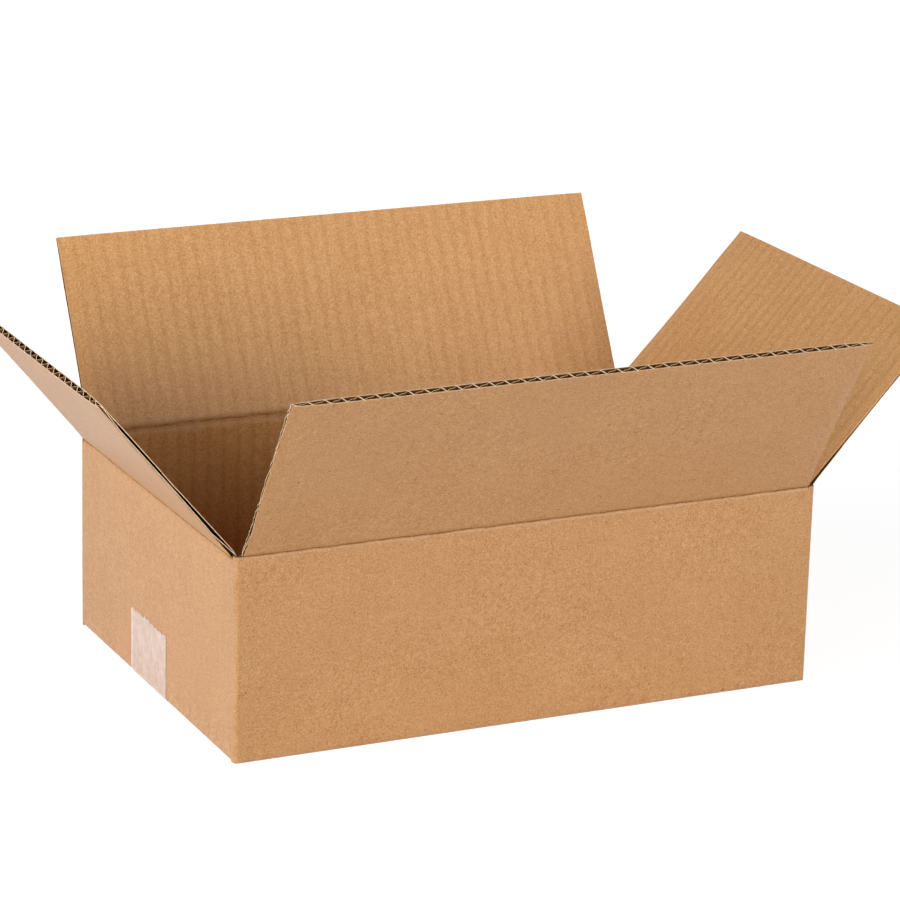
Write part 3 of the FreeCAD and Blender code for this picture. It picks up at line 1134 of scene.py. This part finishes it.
def make_tape_material():
    """Clear film, whitish and half see-through: clouds of glue, faint streaks and one bright side.

    The film covers a little more at its left torn end than along the rest of it.
    """
    material, tree, shader = new_material("clear tape")
    shader.inputs["Roughness"].default_value = 0.35
    shader.inputs["Base Color"].default_value = film_colour
    place = read_mark(tree, "sheet").outputs["Vector"]

    def noise(across, along, detail):
        """Noise about 0, with so many steps to each metre across the tape and along it."""
        vector = vector_maths(tree, "MULTIPLY", place, (across, along, 1))
        return noise_about_zero(tree, vector, detail)

    streak = noise(420, 50, 3)
    spot = noise(380, 380, 3)
    cloud = noise(110, 110, 2)
    alpha = maths(tree, "MULTIPLY_ADD", streak, 0.2, film_cover)
    alpha = maths(tree, "MULTIPLY_ADD", spot, 0.3, alpha)
    alpha = maths(tree, "MULTIPLY_ADD", cloud, 0.4, alpha)
    parts = add_node(tree, "SeparateXYZ", {0: place})
    across, along = parts.outputs["X"], parts.outputs["Y"]
    side = maths(tree, "SUBTRACT", tape_high.y, across)
    glow = maths(tree, "SUBTRACT", 1, ramp(tree, side, 0.3 * mm, 2.2 * mm))
    alpha = maths(tree, "MULTIPLY_ADD", glow, 0.25, alpha)
    low = ramp(tree, along, 0.35 * tape_tail, tape_tail)
    alpha = maths(tree, "MULTIPLY_ADD", low, -0.12, alpha)
    tree.links.new(alpha, shader.inputs["Alpha"])
    add_bump(tree, shader, streak, 0.05 * mm)
    return material


def make_clear_material():
    """The film's glued skin and cut edge, which nobody sees: the outer skin has the whole look."""
    material, tree, shader = new_material("glued side of the tape")
    shader.inputs["Base Color"].default_value = film_colour
    shader.inputs["Alpha"].default_value = 0.0
    return material


tape_materials = [make_tape_material(), make_clear_material()]

make_walls()
for number, panel in enumerate(by_place):
    make_top_flap(panel, seed_of_first_flap + 10 * number)
    make_bottom_flap(panel)
make_tape()


# The camera, from the picture's fitted view. Angles are degrees and the sensor is the picture.
camera_azimuth = -25.545
camera_elevation = 17.239
camera_roll = 1.512
camera_place = Vector((-809.7, -1702.0, 694.6)) * mm
focal_share = 3887.5 / 900
sensor = 36


def make_camera():
    """The camera: its back axis from the two angles, its right axis level and then rolled."""
    azimuth, elevation = math.radians(camera_azimuth), math.radians(camera_elevation)
    back = Vector((
        math.sin(azimuth) * math.cos(elevation),
        -math.cos(azimuth) * math.cos(elevation),
        math.sin(elevation),
    ))
    right = Vector((math.cos(azimuth), math.sin(azimuth), 0))
    turn = Matrix.Rotation(math.radians(camera_roll), 3, back)
    right = turn @ right
    above = back.cross(right)
    data = bpy.data.cameras.new("camera")
    data.sensor_width = sensor
    data.lens = sensor * focal_share
    data.clip_end = 100
    camera = add_object("camera", data)
    facing = Matrix((right, above, back)).transposed().to_4x4()
    camera.matrix_world = Matrix.Translation(camera_place) @ facing
    bpy.context.scene.camera = camera


# Studio light: big soft panels round the carton, and a white surround that is seen, also in
# reflections, but gives no light. Each lamp has an azimuth and a height in degrees, a size in
# metres, a power in watts and a colour.
lamps = {
    "right_panel": (28, 16, 1.2, 39, (1, 1, 1)),
    "front_left_panel": (-50, 14, 1.2, 15, (1, 1, 1)),
    "left_panel": (-85, 20, 1.2, 47, (0.98, 1, 1.06)),
}
lamp_distance = 2.4
lamp_aim = Vector((0, 0, 0.08))
floor_size = 12
floor_drop = 0.05 * mm
floor_fade = (0.2, 0.9)


def make_lamp(name, azimuth, elevation, size, power, colour):
    """A square soft panel that faces the carton's middle, from an angle round it and a height.

    Angles are degrees, and the azimuth is taken from the front, towards the right.
    """
    turn, rise = math.radians(azimuth), math.radians(elevation)
    level = math.cos(rise)
    towards = Vector((math.sin(turn) * level, -math.cos(turn) * level, math.sin(rise)))
    data = bpy.data.lights.new(name, "AREA")
    data.size = size
    data.energy = power
    data.color = colour
    lamp = add_object(name, data)
    lamp.rotation_euler = towards.to_track_quat("Z", "Y").to_euler()
    lamp.location = lamp_aim + lamp_distance * towards


def seen_directly(tree):
    """1 for rays from the camera and for reflected or transmitted views of the surround."""
    path = add_node(tree, "LightPath")
    seen = maths(tree, "MAXIMUM", path.outputs["Is Camera Ray"], path.outputs["Is Glossy Ray"])
    return maths(tree, "MAXIMUM", seen, path.outputs["Is Transmission Ray"])


def make_surround():
    """The world: white with a strength of 1 where it is seen and 0 for all other rays."""
    world = bpy.data.worlds.new("surround")
    bpy.context.scene.world = world
    world.use_nodes = True
    tree = world.node_tree
    tree.links.new(seen_directly(tree), tree.nodes["Background"].inputs["Strength"])
    tree.nodes["Background"].inputs["Color"].default_value = (1, 1, 1, 1)


def make_floor():
    """A square of floor, nearly white where it is seen, that keeps the carton's soft shadow."""
    corners = [(-1, -1), (1, -1), (1, 1), (-1, 1)]
    points = [(x * floor_size, y * floor_size, -floor_drop) for x, y in corners]
    mesh = bpy.data.meshes.new("floor")
    mesh.from_pydata(points, [], [(0, 1, 2, 3)])
    add_object("floor", mesh)
    material, tree, shader = new_material("pale floor")
    tree.nodes.remove(shader)
    pale = add_node(tree, "BsdfDiffuse", {"Color": (0.8, 0.8, 0.8, 1)}).outputs[0]
    grey = add_node(tree, "BsdfDiffuse", {"Color": (0.3, 0.3, 0.3, 1)}).outputs[0]
    place = add_node(tree, "TexCoord").outputs["Object"]
    distance = add_node(tree, "VectorMath", {0: place}, operation="LENGTH").outputs["Value"]
    glow = maths(tree, "MULTIPLY_ADD", ramp(tree, distance, *floor_fade), 0.1, 0.9)
    glow = add_node(tree, "Emission", {"Color": (1, 1, 1, 1), "Strength": glow}).outputs[0]
    bright = add_node(tree, "AddShader", {0: grey, 1: glow}).outputs[0]
    inputs = {0: seen_directly(tree), 1: pale, 2: bright}
    mixed = add_node(tree, "MixShader", inputs).outputs[0]
    tree.links.new(mixed, tree.nodes["Material Output"].inputs["Surface"])
    mesh.materials.append(material)


make_camera()
make_surround()
make_floor()
for lamp_name, settings in lamps.items():
    make_lamp(lamp_name, *settings)
bpy.context.scene.view_settings.view_transform = "Standard"
